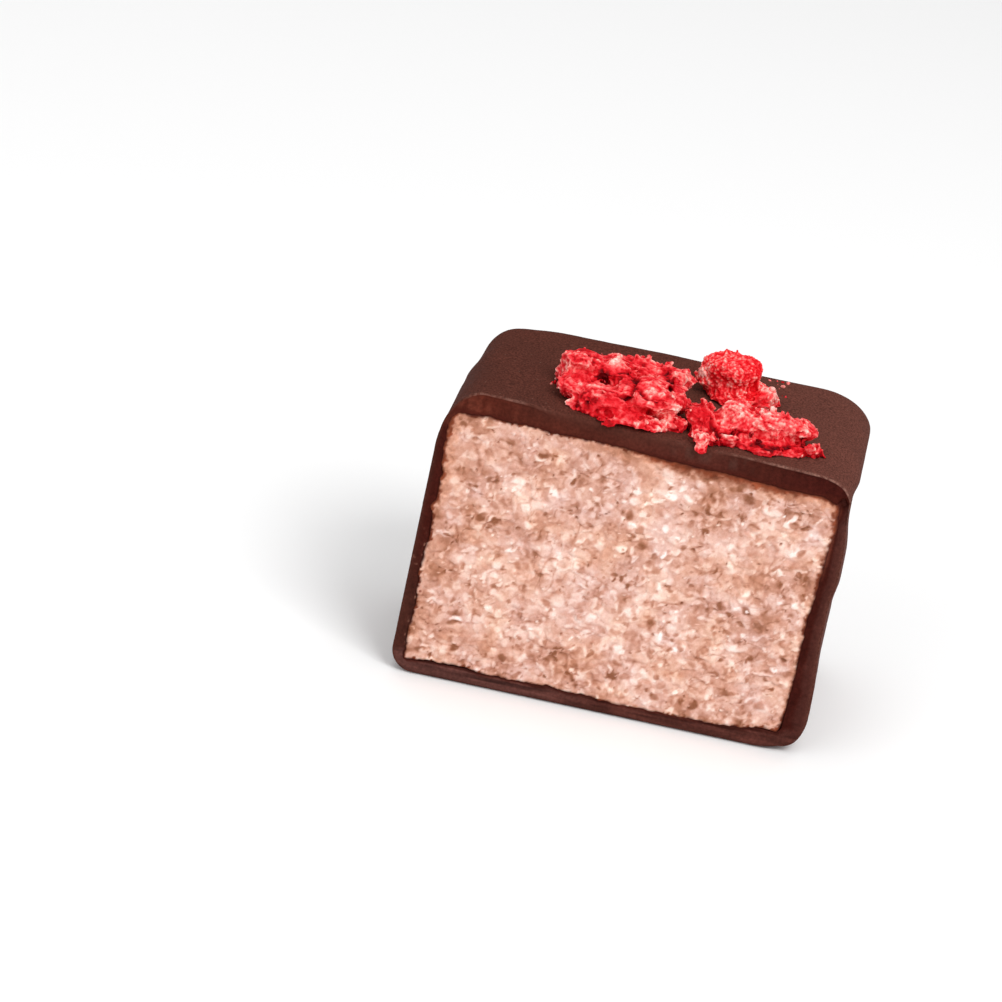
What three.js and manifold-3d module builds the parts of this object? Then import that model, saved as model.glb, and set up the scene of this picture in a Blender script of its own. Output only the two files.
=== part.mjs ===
// Half of a chocolate-coated cheesecake bite, standing on its flat base with the knife's cut facing -Y.
// A thin dark coating wraps a block of crumbly filling, and three pieces of dried strawberry lie on top.
// Millimetres. +X runs along the cut, +Y into the bite, +Z up. The origin is under the middle of the half.

import * as THREE from "three";
import { mergeVertices } from "three/addons/utils/BufferGeometryUtils.js";
import Module from "manifold-3d";

// The coated half. It was cut a little askew, so it is deeper on the right, where its top is also lower.
const BASE_WIDTH = 39.1;
const TOP_WIDTH = 38;
const LEFT_HEIGHT = 29.3;
const RIGHT_HEIGHT = 28;
const LEFT_DEPTH = 19.2;
const RIGHT_DEPTH = 22.8;
const SIDE_LEAN = 0.057; // how far the sides drift to the right for each step back
const GAP = 0.3; // between pieces that touch in the real bite

// The cut's plane and the middle of the cut, placed so that the half stands over the origin.
const DEPTH = (LEFT_DEPTH + RIGHT_DEPTH) / 2;
const CUT_Y = -11.1;
const CUT_X = SIDE_LEAN * CUT_Y;

// The coating is thickest where it ran down: over the top, at the foot and low on the right.
const LEFT_WALL = 1.0;
const RIGHT_WALL_AT_FOOT = 2.3;
const RIGHT_WALL_AT_TOP = 1.1;
const BACK_WALL = 1.6;
const FOOT_LAYER_LEFT = 1.4;
const FOOT_LAYER_RIGHT = 2.0;
const TOP_LAYER_LEFT = 2.1;
const TOP_LAYER_RIGHT = 1.85;

// Each corner of the cross-section is a quarter ellipse: [half width, half height].
const COATING_CORNERS = {
  topRight: [3.8, 2.4],
  topLeft: [3.8, 6.4],
  footLeft: [2.1, 2.3],
  footRight: [4.5, 4],
};
const FILLING_CORNERS = {
  topRight: [1.2, 1],
  topLeft: [1.3, 1.4],
  footLeft: [0.7, 0.6],
  footRight: [0.9, 0.9],
};

// Towards the back, every side turns in round a quarter ellipse: [inset, length along Y].
const COATING_TURNS = { left: [3.5, 3.5], right: [4.1, 4.1], top: [1.5, 2.1], foot: [1.5, 1.5] };
const FILLING_TURNS = { left: [2.2, 2.2], right: [2.6, 2.6], top: [0.8, 1.0], foot: [0.8, 0.8] };

// How far the hand-dipped sides wander from true, growing from nothing at the cut and the foot.
const SWAY = 0.16;
const SWAY_LENGTH = 5.5;

// The crumbly filling tears instead of cutting clean, so its cut face is uneven.
const TEAR_DEPTH = 0.14;
const TEAR_LENGTH = 1.1;

// Steps round each corner and along each side of the section, along the depth and over the turn at the back.
const CORNER_STEPS = 6;
const SIDE_STEPS = 4;
const DEPTH_STEPS = 4;
const TURN_STEPS = 6;
const TEAR_STEP = 1.8;
const OPENING = 1; // how far the filling's space runs out past the cut

// Lumps of the dried strawberry pieces: how far along the cut from its middle, how far behind it, how high
// above the chocolate's top, and the half sizes along X, Y and Z.
const LEFT_BERRY = [
  [-0.9, 4.4, 1.9, 3.2, 2.6, 1.9],
  [-4.9, 2.7, 0.9, 3.0, 2.2, 1.5],
  [-2.7, 1.6, 0.4, 3.3, 1.7, 1.2],
  [-4.0, 0.8, 0.1, 1.4, 1.2, 0.8],
  [1.6, 2.9, 0.3, 1.5, 1.3, 0.9],
  [0.6, 5.6, 1.3, 1.8, 2.0, 1.5],
  [0.4, 7.4, 1.6, 1.6, 1.6, 1.4],
  [1.0, 8.9, 2.1, 1.4, 1.3, 1.2],
  [1.9, 9.2, 2.0, 0.9, 0.7, 0.6],
  [-7.6, 7.2, 1.7, 2.2, 2.1, 1.6],
  [-7.4, 4.5, 1.1, 2.0, 2.0, 1.5],
  [-4.5, 7.4, 1.9, 2.0, 1.7, 1.6],
  [-2.9, 9.8, 1.7, 3.2, 1.6, 1.4],
  [-0.4, 10.3, 2.0, 1.7, 0.9, 0.7],
  [-3.0, 6.1, 0.7, 3.4, 2.8, 1.3],
  [-7.4, 2.3, 0.3, 0.9, 0.9, 0.7],
];
const BACK_BERRY = [
  [6.1, 13.4, 2.0, 2.9, 2.5, 2.2],
  [3.8, 12.8, 1.6, 1.1, 0.9, 0.8],
  [6.7, 11.6, 0.5, 2.2, 1.4, 1.2],
  [5.8, 14.8, 0.8, 2.3, 1.6, 1.5],
  [8.4, 13.4, 1.0, 1.6, 1.6, 1.3],
  [9.3, 11.9, 0.7, 1.3, 1.3, 1.2],
  [9.9, 13.3, 0.7, 1.1, 0.9, 0.8],
];
const FRONT_BERRY = [
  [3.9, 4.0, 0.9, 1.4, 1.7, 1.8],
  [4.3, 2.2, 0.3, 1.2, 1.5, 1.1],
  [4.5, 0.5, 0.3, 1.1, 1.3, 1.0],
  [7.2, 5.0, 1.2, 2.4, 2.1, 1.9],
  [6.2, 2.4, 0.2, 2.1, 1.6, 1.0],
  [10.3, 5.1, 1.4, 3.0, 1.6, 1.5],
  [13.0, 5.6, 1.6, 1.5, 1.3, 1.3],
  [9.4, 2.8, 0.2, 2.1, 1.5, 1.0],
  [11.8, 3.9, 0.3, 2.0, 1.4, 0.9],
  [14.2, 4.2, 0.2, 1.3, 0.9, 0.7],
];
const LUMP_DETAIL = 2;
const CRUMBLE = 0.15; // how deep a lump's surface is broken, as a share of its size

const COATING = {
  left: { foot: -BASE_WIDTH / 2, top: -TOP_WIDTH / 2 },
  right: { foot: BASE_WIDTH / 2, top: TOP_WIDTH / 2 },
  foot: { left: 0, right: 0 },
  top: { left: LEFT_HEIGHT, right: RIGHT_HEIGHT },
  back: CUT_Y + DEPTH,
  corners: COATING_CORNERS,
  turns: COATING_TURNS,
};
const FILLING = {
  left: { foot: COATING.left.foot + LEFT_WALL, top: COATING.left.top + LEFT_WALL },
  right: { foot: COATING.right.foot - RIGHT_WALL_AT_FOOT, top: COATING.right.top - RIGHT_WALL_AT_TOP },
  foot: { left: FOOT_LAYER_LEFT, right: FOOT_LAYER_RIGHT },
  top: { left: LEFT_HEIGHT - TOP_LAYER_LEFT, right: RIGHT_HEIGHT - TOP_LAYER_RIGHT },
  back: COATING.back - BACK_WALL,
  corners: FILLING_CORNERS,
  turns: FILLING_TURNS,
};

const { lerp, clamp } = THREE.MathUtils;

const wasm = await Module();
wasm.setup();

// A closed three.js geometry as a solid that can be joined and cut.
function solidOf(geometry) {
  const bare = geometry.clone();
  bare.deleteAttribute("normal");
  bare.deleteAttribute("uv");
  const merged = mergeVertices(bare, 1e-4);
  const vertProperties = new Float32Array(merged.attributes.position.array);
  const triVerts = new Uint32Array(merged.index.array);
  return new wasm.Manifold(new wasm.Mesh({ numProp: 3, vertProperties, triVerts }));
}

// A solid back as a three.js geometry.
function geometryOf(solid) {
  const { vertProperties, triVerts } = solid.getMesh();
  const geometry = new THREE.BufferGeometry();
  geometry.setAttribute("position", new THREE.BufferAttribute(vertProperties, 3));
  geometry.setIndex(new THREE.BufferAttribute(triVerts, 1));
  geometry.computeVertexNormals();
  return geometry;
}

// The same block with every wall but the cut moved in by `amount`, or out if it is negative.
function shrink(block, amount) {
  const less = ([key, lengths]) => [key, lengths.map((length) => Math.max(length - amount, GAP))];
  const each = (group) => Object.fromEntries(Object.entries(group).map(less));
  return {
    left: { foot: block.left.foot + amount, top: block.left.top + amount },
    right: { foot: block.right.foot - amount, top: block.right.top - amount },
    foot: { left: block.foot.left + amount, right: block.foot.right + amount },
    top: { left: block.top.left - amount, right: block.top.right - amount },
    back: block.back - amount,
    corners: each(block.corners),
    turns: each(block.turns),
  };
}

// How far a side with this turn has moved in at this distance from the back.
function turnedIn([inset, length], fromBack) {
  const along = clamp(1 - fromBack / length, 0, 1);
  return inset * (1 - Math.sqrt(1 - along * along));
}

// A point of the rounded section. `round` goes once round it from 0 to 1, anticlockwise from the right wall,
// and takes a quarter for each corner with the side that follows it.
function sectionPoint(block, round, fromBack) {
  const inset = (side) => turnedIn(block.turns[side], fromBack);
  const right = block.right.top - inset("right");
  const left = block.left.top + inset("left");
  const top = block.top.left - inset("top");
  const foot = block.foot.left + inset("foot");
  const corners = [
    { x: right, z: top, radii: block.corners.topRight, toX: -1, toZ: -1 },
    { x: left, z: top, radii: block.corners.topLeft, toX: 1, toZ: -1 },
    { x: left, z: foot, radii: block.corners.footLeft, toX: 1, toZ: 1 },
    { x: right, z: foot, radii: block.corners.footRight, toX: -1, toZ: 1 },
  ];
  const quarter = Math.floor(round * 4) % 4;
  const within = (round * 4 - Math.floor(round * 4)) * (CORNER_STEPS + SIDE_STEPS);
  const onCorner = (index, share) => {
    const { x, z, radii, toX, toZ } = corners[index % 4];
    const angle = (index + share) * (Math.PI / 2);
    return [x + radii[0] * (toX + Math.cos(angle)), z + radii[1] * (toZ + Math.sin(angle))];
  };
  if (within <= CORNER_STEPS) return onCorner(quarter, within / CORNER_STEPS);
  const start = onCorner(quarter, 1);
  const end = onCorner(quarter + 1, 0);
  const share = (within - CORNER_STEPS) / SIDE_STEPS;
  return [lerp(start[0], end[0], share), lerp(start[1], end[1], share)];
}

// Leans the upright section's walls, slopes its top and foot, skews its back and lets the sides wander.
function settle(block, x, y, z) {
  const width = block.right.top - block.left.top;
  const height = block.top.left - block.foot.left;
  const across = (x - block.left.top) / width;
  const up = (z - block.foot.left) / height;
  const left = lerp(block.left.foot, block.left.top, up);
  const right = lerp(block.right.foot, block.right.top, up);
  const foot = lerp(block.foot.left, block.foot.right, across);
  const top = lerp(block.top.left, block.top.right, across);
  const depth = lerp(LEFT_DEPTH, RIGHT_DEPTH, across) / DEPTH;
  const back = CUT_Y + (y - CUT_Y) * depth;
  const free = clamp((y - CUT_Y) / DEPTH, 0, 1) * clamp(up * 4, 0, 1);
  const sideways = Math.sin(y / SWAY_LENGTH + z / (SWAY_LENGTH * 1.7));
  const upwards = Math.sin(x / (SWAY_LENGTH * 1.3) + y / SWAY_LENGTH);
  return [
    lerp(left, right, across) + SIDE_LEAN * back + SWAY * free * sideways,
    back + SWAY * free * Math.sin(x / SWAY_LENGTH + z / (SWAY_LENGTH * 1.4)),
    lerp(foot, top, up) + SWAY * free * upwards * clamp(up * 2 - 1, 0, 1),
  ];
}

// A rounded block as a closed geometry: a cylinder whose rings become sections, from `front` to the back.
function roundedBlock(block, front) {
  const around = 4 * (CORNER_STEPS + SIDE_STEPS);
  const rings = DEPTH_STEPS + TURN_STEPS;
  const geometry = new THREE.CylinderGeometry(1, 1, rings, around, rings);
  const longest = Math.max(...Object.values(block.turns).map(([, length]) => length));
  const middle = [(block.left.top + block.right.top) / 2, (block.foot.left + block.top.left) / 2];
  const position = geometry.attributes.position;
  for (let i = 0; i < position.count; i += 1) {
    const ring = position.getY(i) + rings / 2;
    const turning = clamp((ring - DEPTH_STEPS) / TURN_STEPS, 0, 1);
    const straight = clamp(ring / DEPTH_STEPS, 0, 1);
    const fromBack = longest * (1 - Math.sin((turning * Math.PI) / 2));
    const y = ring <= DEPTH_STEPS ? lerp(front, block.back - longest, straight) : block.back - fromBack;
    const onAxis = Math.hypot(position.getX(i), position.getZ(i)) < 0.5;
    const angle = Math.atan2(position.getZ(i), position.getX(i));
    const round = (angle / (2 * Math.PI) + 1) % 1;
    const snapped = (Math.round(round * around) / around) % 1;
    const [x, z] = onAxis ? middle : sectionPoint(block, snapped, block.back - y);
    position.setXYZ(i, ...settle(block, x, y, z));
  }
  return geometry;
}

// A slab behind the cut whose near face is uneven, to give the filling its torn face.
function tornSlab() {
  const [width, depth, height] = [BASE_WIDTH, RIGHT_DEPTH, LEFT_HEIGHT];
  const columns = Math.round(width / TEAR_STEP);
  const rows = Math.round(height / TEAR_STEP);
  const geometry = new THREE.BoxGeometry(width, depth, height, columns, 1, rows);
  geometry.translate(CUT_X, CUT_Y + depth / 2 + TEAR_DEPTH, height / 2);
  const position = geometry.attributes.position;
  for (let i = 0; i < position.count; i += 1) {
    if (position.getY(i) > 0) continue;
    const [x, z] = [position.getX(i) / TEAR_LENGTH, position.getZ(i) / TEAR_LENGTH];
    const torn = Math.sin(x + 2 * Math.sin(z * 0.7)) * Math.sin(1.3 * z + Math.sin(x * 0.6));
    position.setY(i, position.getY(i) + TEAR_DEPTH * torn);
  }
  return geometry;
}

// The outer block less the space that the filling takes up, which opens onto the cut.
function coating(outer) {
  const space = solidOf(roundedBlock(FILLING, CUT_Y - OPENING));
  return outer.subtract(space);
}

// The filling, clear of the coating all round and torn at the cut.
function filling() {
  const block = solidOf(roundedBlock(shrink(FILLING, GAP), CUT_Y - OPENING));
  return block.intersect(solidOf(tornSlab()));
}

// One broken lump of dried strawberry, standing on the chocolate's top.
function lump([along, behind, above, halfLength, halfDepth, halfHeight]) {
  const geometry = new THREE.IcosahedronGeometry(1, LUMP_DETAIL);
  const position = geometry.attributes.position;
  for (let i = 0; i < position.count; i += 1) {
    const [x, y, z] = [position.getX(i), position.getY(i), position.getZ(i)];
    const broken = Math.sin(4 * x + along) * Math.sin(5 * y + behind) + Math.sin(4.5 * z + along - behind);
    const reach = 1 + CRUMBLE * broken;
    position.setXYZ(i, x * reach, y * reach, z * reach);
  }
  const top = lerp(LEFT_HEIGHT, RIGHT_HEIGHT, along / TOP_WIDTH + 0.5);
  geometry.scale(halfLength, halfDepth, halfHeight);
  geometry.translate(CUT_X + along, CUT_Y + behind, top + above);
  return solidOf(geometry);
}

// A strawberry piece: its lumps joined, less the chocolate that it lies on.
function berry(lumps, chocolate) {
  const joined = lumps.map(lump).reduce((whole, next) => whole.add(next));
  return joined.subtract(chocolate);
}

// A named mesh with its own material.
function part(name, solid, colour, roughness) {
  const material = new THREE.MeshStandardMaterial({ color: colour, roughness, metalness: 0 });
  const mesh = new THREE.Mesh(geometryOf(solid), material);
  mesh.name = name;
  return mesh;
}

const outer = solidOf(roundedBlock(COATING, CUT_Y));
const clearOfChocolate = solidOf(roundedBlock(shrink(COATING, -GAP), CUT_Y - GAP));
const leftBerry = berry(LEFT_BERRY, clearOfChocolate);
const backBerry = berry(BACK_BERRY, clearOfChocolate);
const frontBerry = berry(FRONT_BERRY, clearOfChocolate).subtract(leftBerry.translate([GAP, 0, 0]));

const bite = new THREE.Group();
bite.add(part("chocolate_coating", coating(outer), 0x572d25, 0.5));
bite.add(part("cheesecake_filling", filling(), 0xe9b8a6, 0.8));
bite.add(part("strawberry_piece_left", leftBerry, 0xe34044, 0.7));
bite.add(part("strawberry_piece_back", backBerry, 0xef5052, 0.7));
bite.add(part("strawberry_piece_front", frontBerry, 0xf24b4e, 0.7));

export default bite;
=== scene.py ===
# Looks for half of a chocolate-coated cheesecake bite with three pieces of dried strawberry on top.
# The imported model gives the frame. Every visible piece is rebuilt here as a finer mesh inside it.
# Lengths below are millimetres in the frame's axes: +X along the cut, +Y into the bite, +Z up.
import math

import bpy
import numpy as np
from mathutils import Matrix, Vector


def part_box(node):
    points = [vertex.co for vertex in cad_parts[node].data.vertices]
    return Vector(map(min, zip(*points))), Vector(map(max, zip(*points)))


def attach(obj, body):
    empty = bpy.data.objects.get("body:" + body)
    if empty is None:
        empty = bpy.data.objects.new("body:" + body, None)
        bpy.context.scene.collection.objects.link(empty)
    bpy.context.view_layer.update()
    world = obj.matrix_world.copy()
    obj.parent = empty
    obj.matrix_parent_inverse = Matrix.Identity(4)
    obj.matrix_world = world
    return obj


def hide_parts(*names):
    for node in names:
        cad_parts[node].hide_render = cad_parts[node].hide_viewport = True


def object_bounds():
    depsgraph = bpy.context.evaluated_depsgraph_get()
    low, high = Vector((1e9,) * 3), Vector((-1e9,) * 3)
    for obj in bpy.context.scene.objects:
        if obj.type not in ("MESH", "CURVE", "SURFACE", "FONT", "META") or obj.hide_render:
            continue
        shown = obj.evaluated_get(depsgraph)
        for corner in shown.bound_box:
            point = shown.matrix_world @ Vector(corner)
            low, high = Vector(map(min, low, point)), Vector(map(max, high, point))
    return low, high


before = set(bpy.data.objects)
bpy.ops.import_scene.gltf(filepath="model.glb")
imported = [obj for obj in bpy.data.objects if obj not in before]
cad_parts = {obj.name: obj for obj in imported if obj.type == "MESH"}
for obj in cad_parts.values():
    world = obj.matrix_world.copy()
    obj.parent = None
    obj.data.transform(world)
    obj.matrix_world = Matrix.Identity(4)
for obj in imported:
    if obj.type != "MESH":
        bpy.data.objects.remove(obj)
cad_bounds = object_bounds()

MM = 0.001
SEED = 20

# ---------------- the form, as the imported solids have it

CAD_LOW = np.array(cad_bounds[0]) / MM
CAD_HIGH = np.array(cad_bounds[1]) / MM
COATING_LOW, COATING_HIGH = (np.array(corner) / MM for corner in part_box("chocolate_coating"))

BASE_WIDTH = 39.1
TOP_WIDTH = 38.0
LEFT_HEIGHT = 29.3
RIGHT_HEIGHT = 28.0
LEFT_DEPTH = 19.2
RIGHT_DEPTH = 22.8
BACK_WALL = 1.6
SIDE_LEAN = 0.057
DEPTH = (LEFT_DEPTH + RIGHT_DEPTH) / 2
CUT_Y = COATING_LOW[1]
CUT_X = SIDE_LEAN * CUT_Y
SWAY = 0.16  # how far the sides wander out and in
SWAY_LENGTH = 5.5

# A block gives each wall at its foot and its top, or at its left and its right, then the back, the section's
# four corners as [half width, half height] and the turn of each side into the back as [inset, length].
COATING = {
    "left": (-BASE_WIDTH / 2, -TOP_WIDTH / 2),
    "right": (BASE_WIDTH / 2, TOP_WIDTH / 2),
    "foot": (0.0, 0.0),
    "top": (LEFT_HEIGHT, RIGHT_HEIGHT),
    "back": CUT_Y + DEPTH,
    "corners": [(3.8, 2.4), (3.8, 6.4), (2.1, 2.3), (4.5, 4.0)],
    "turns": {"left": (3.5, 3.5), "right": (4.1, 4.1), "top": (1.5, 2.1), "foot": (1.5, 1.5)},
}
# The filling is smaller all round by the thickness of the chocolate.
FILLING = {
    "left": (COATING["left"][0] + 1.0, COATING["left"][1] + 1.0),
    "right": (COATING["right"][0] - 2.3, COATING["right"][1] - 1.1),
    "foot": (1.4, 2.0),
    "top": (LEFT_HEIGHT - 2.1, RIGHT_HEIGHT - 1.85),
    "back": COATING["back"] - BACK_WALL,
    "corners": [(1.2, 1.0), (1.3, 1.4), (0.7, 0.6), (0.9, 0.9)],
    "turns": {"left": (2.2, 2.2), "right": (2.6, 2.6), "top": (0.8, 1.0), "foot": (0.8, 0.8)},
}
CORNER_SHARE = 0.32  # how much of each quarter of the outline is its corner


def turned_in(turn, from_back):
    """How far a side with this turn has moved in at this distance from the back."""
    inset, length = turn
    along = np.clip(1 - from_back / length, 0, 1)
    return inset * (1 - np.sqrt(1 - along**2))


def section(block, from_back, around):
    """x and z of the upright rounded section; `around` runs anticlockwise from the right wall, 0 to 1."""
    turns = {side: turned_in(turn, from_back) for side, turn in block["turns"].items()}
    right, left = block["right"][1] - turns["right"], block["left"][1] + turns["left"]
    top, foot = block["top"][0] - turns["top"], block["foot"][0] + turns["foot"]
    half = np.array(block["corners"])
    centre = np.array([(right, top), (left, top), (left, foot), (right, foot)])
    centre += half * [(-1, -1), (1, -1), (1, 1), (-1, 1)]

    def on_corner(number, angle):
        return centre[number] + half[number] * np.stack([np.cos(angle), np.sin(angle)], axis=-1)

    quarter = np.floor(around * 4).astype(int) % 4
    within = around * 4 % 1
    here = on_corner(quarter, (quarter + np.clip(within / CORNER_SHARE, 0, 1)) * math.pi / 2)
    following = on_corner((quarter + 1) % 4, (quarter + 1) * math.pi / 2)
    side = np.clip((within - CORNER_SHARE) / (1 - CORNER_SHARE), 0, 1)
    return mixed(here, following, side[:, None]).T


def mixed(first, second, share):
    return first + (second - first) * share


def settle(block, x, y, z):
    """Leans the upright section's walls, slopes its top and foot, skews its back and sways its sides."""
    across = (x - block["left"][1]) / (block["right"][1] - block["left"][1])
    up = (z - block["foot"][0]) / (block["top"][0] - block["foot"][0])
    left = mixed(*block["left"], up)
    right = mixed(*block["right"], up)
    foot = mixed(*block["foot"], across)
    top = mixed(*block["top"], across)
    back = CUT_Y + (y - CUT_Y) * mixed(LEFT_DEPTH, RIGHT_DEPTH, across) / DEPTH
    free = np.clip((y - CUT_Y) / DEPTH, 0, 1) * np.clip(up * 4, 0, 1)
    sideways = np.sin(y / SWAY_LENGTH + z / (SWAY_LENGTH * 1.7))
    upwards = np.sin(x / (SWAY_LENGTH * 1.3) + y / SWAY_LENGTH) * np.clip(up * 2 - 1, 0, 1)
    return np.stack(
        [
            mixed(left, right, across) + SIDE_LEAN * back + SWAY * free * sideways,
            back + SWAY * free * np.sin(x / SWAY_LENGTH + z / (SWAY_LENGTH * 1.4)),
            mixed(foot, top, up) + SWAY * free * upwards,
        ],
        axis=-1,
    )


def top_of(block, x):
    """How high a block's top is near the cut, away from its corners."""
    return mixed(*block["top"], (x - CUT_X) / TOP_WIDTH + 0.5)


# ---------------- noise and mesh tools


def hashed(cell, seed):
    """A repeatable random number from 0 to 1 for each whole-numbered cell."""
    cell = cell.astype(np.uint32)
    code = cell[..., 0] * np.uint32(374761393) + cell[..., 1] * np.uint32(668265263)
    code = code + cell[..., 2] * np.uint32(2246822519) + np.uint32(seed * 3266489917 % 2**32)
    code = (code ^ (code >> np.uint32(15))) * np.uint32(2246822519)
    code = (code ^ (code >> np.uint32(13))) * np.uint32(3266489917)
    return (code ^ (code >> np.uint32(16))).astype(float) / 2**32


def noise(points, length, seed=0):
    """Smooth noise from -1 to 1 with features of about this length."""
    scaled = np.asarray(points, float) / length
    cell = np.floor(scaled).astype(np.int64)
    part = scaled - cell
    part = part * part * part * (part * (part * 6 - 15) + 10)
    total = np.zeros(scaled.shape[:-1])
    for corner in np.ndindex(2, 2, 2):
        weight = np.prod(np.where(corner, part, 1 - part), axis=-1)
        total += weight * hashed(cell + np.array(corner), seed)
    return total * 2 - 1


def fractal(points, length, octaves, seed=0):
    """Noise with finer, weaker noise on top of it."""
    layers = [noise(points, length / 2**i, seed + i) / 2**i for i in range(octaves)]
    return sum(layers) / (2 - 2 ** (1 - octaves))


def folds(points, length, seed=0):
    """Noise with sharp crests, from 0 in the valleys to 1 on the crests."""
    return 1 - np.abs(noise(points, length, seed)) * 2 ** 0.5


def cells(points, length, seed=0):
    """Distance to the nearest of many scattered points, as a share of their spacing."""
    scaled = np.asarray(points, float) / length
    cell = np.floor(scaled).astype(np.int64)
    nearest = np.full(scaled.shape[:-1], 9.0)
    for step in np.ndindex(3, 3, 3):
        other = cell + np.array(step) - 1
        spot = other + np.stack([hashed(other, seed + axis) for axis in range(3)], axis=-1)
        nearest = np.minimum(nearest, np.linalg.norm(scaled - spot, axis=-1))
    return nearest


def ramp(low, high, value):
    """0 up to the first end and 1 from the second one on, whichever of them is higher."""
    share = np.clip((value - low) / (high - low), 0, 1)
    return share * share * (3 - 2 * share)


def hill(value, middle, width):
    """1 at the middle, falling away smoothly on both sides of it."""
    return np.exp(-(((value - middle) / width) ** 2))


def painted(colours, other, share):
    """Each point's colour, turned by its own share towards another one."""
    return mixed(colours, other, share[:, None])


def blended(stops, value):
    """A colour for each value, between colour stops given as [value, red, green, blue]."""
    stops = np.array(stops)
    return np.stack([np.interp(value, stops[:, 0], stops[:, i]) for i in (1, 2, 3)], axis=-1)


def new_object(name, data):
    """A new object of the scene that holds this mesh, light or camera."""
    made = bpy.data.objects.new(name, data)
    bpy.context.scene.collection.objects.link(made)
    return made


def mesh_object(name, points, faces, material, tint=None, **shares):
    """A smooth mesh object from points in millimetres, with colours and shares kept as attributes."""
    mesh = bpy.data.meshes.new(name)
    mesh.from_pydata((np.asarray(points) * MM).tolist(), [], faces)
    mesh.update()
    mesh.polygons.foreach_set("use_smooth", np.ones(len(mesh.polygons), bool))
    mesh.materials.append(material)
    if tint is not None:
        opaque = np.concatenate([np.clip(tint, 0, 1), np.ones((len(tint), 1))], axis=1)
        layer = mesh.attributes.new("tint", "FLOAT_COLOR", "POINT")
        layer.data.foreach_set("color", opaque.astype(np.float32).ravel())
    for key, values in shares.items():
        layer = mesh.attributes.new(key, "FLOAT", "POINT")
        layer.data.foreach_set("value", np.asarray(values, np.float32))
    return new_object(name, mesh)


def rows_of(items, key, width=3, kind=float):
    """What a mesh's items hold under this key, as one row for each."""
    values = np.empty(len(items) * width, kind)
    items.foreach_get(key, values)
    return values.reshape(-1, width)


def points_of(mesh):
    return rows_of(mesh.vertices, "co")


def normals_of(mesh):
    return rows_of(mesh.vertex_normals, "vector")


def set_points(mesh, points):
    mesh.vertices.foreach_set("co", np.asarray(points, np.float32).ravel())
    mesh.update()


def neighbour_mean(values, edges):
    """For each vertex, the mean of the values at the vertices joined to it."""
    here, there = np.concatenate([edges, edges[:, ::-1]]).T
    columns = values.reshape(len(values), -1).T
    count = np.bincount(here, minlength=len(values))
    total = np.stack([np.bincount(here, column[there], len(values)) for column in columns], axis=-1)
    return (total / np.maximum(count, 1)[:, None]).reshape(values.shape)


def drifted(points, *layers):
    """Points moved sideways by noise; each layer gives how far, the noise's length and its seed."""
    moved = points.copy()
    for reach, length, seed in layers:
        moved += reach * np.stack([noise(points, length, seed + axis) for axis in range(3)], axis=-1)
    return moved


def band_faces(index):
    """Quads between each ring of vertices and the next one."""
    beside = np.roll(index, -1, axis=1)
    return np.stack([index[:-1], index[1:], beside[1:], beside[:-1]], axis=-1).reshape(-1, 4).tolist()


def fan_faces(ring, pole):
    """Triangles between a ring and the pole that comes after it."""
    return [(pole, b, a) for a, b in zip(ring.tolist(), np.roll(ring, -1).tolist())]


def ring_faces(rings, around):
    """Faces of a closed skin of rings; the pole before them and the pole after them come last."""
    index = np.arange(rings * around).reshape(rings, around)
    before, after = rings * around, rings * around + 1
    start = [(pole, a, b) for pole, b, a in fan_faces(index[0], before)]
    return band_faces(index) + start + fan_faces(index[-1], after)


# ---------------- materials

GRAIN_ENDS = (0.3, 0.7)  # most of a noise node's values lie between these
FLECK_COLOUR = (0.21, 0.12, 0.09, 1)  # of the pale flecks in the chocolate's skin


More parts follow.
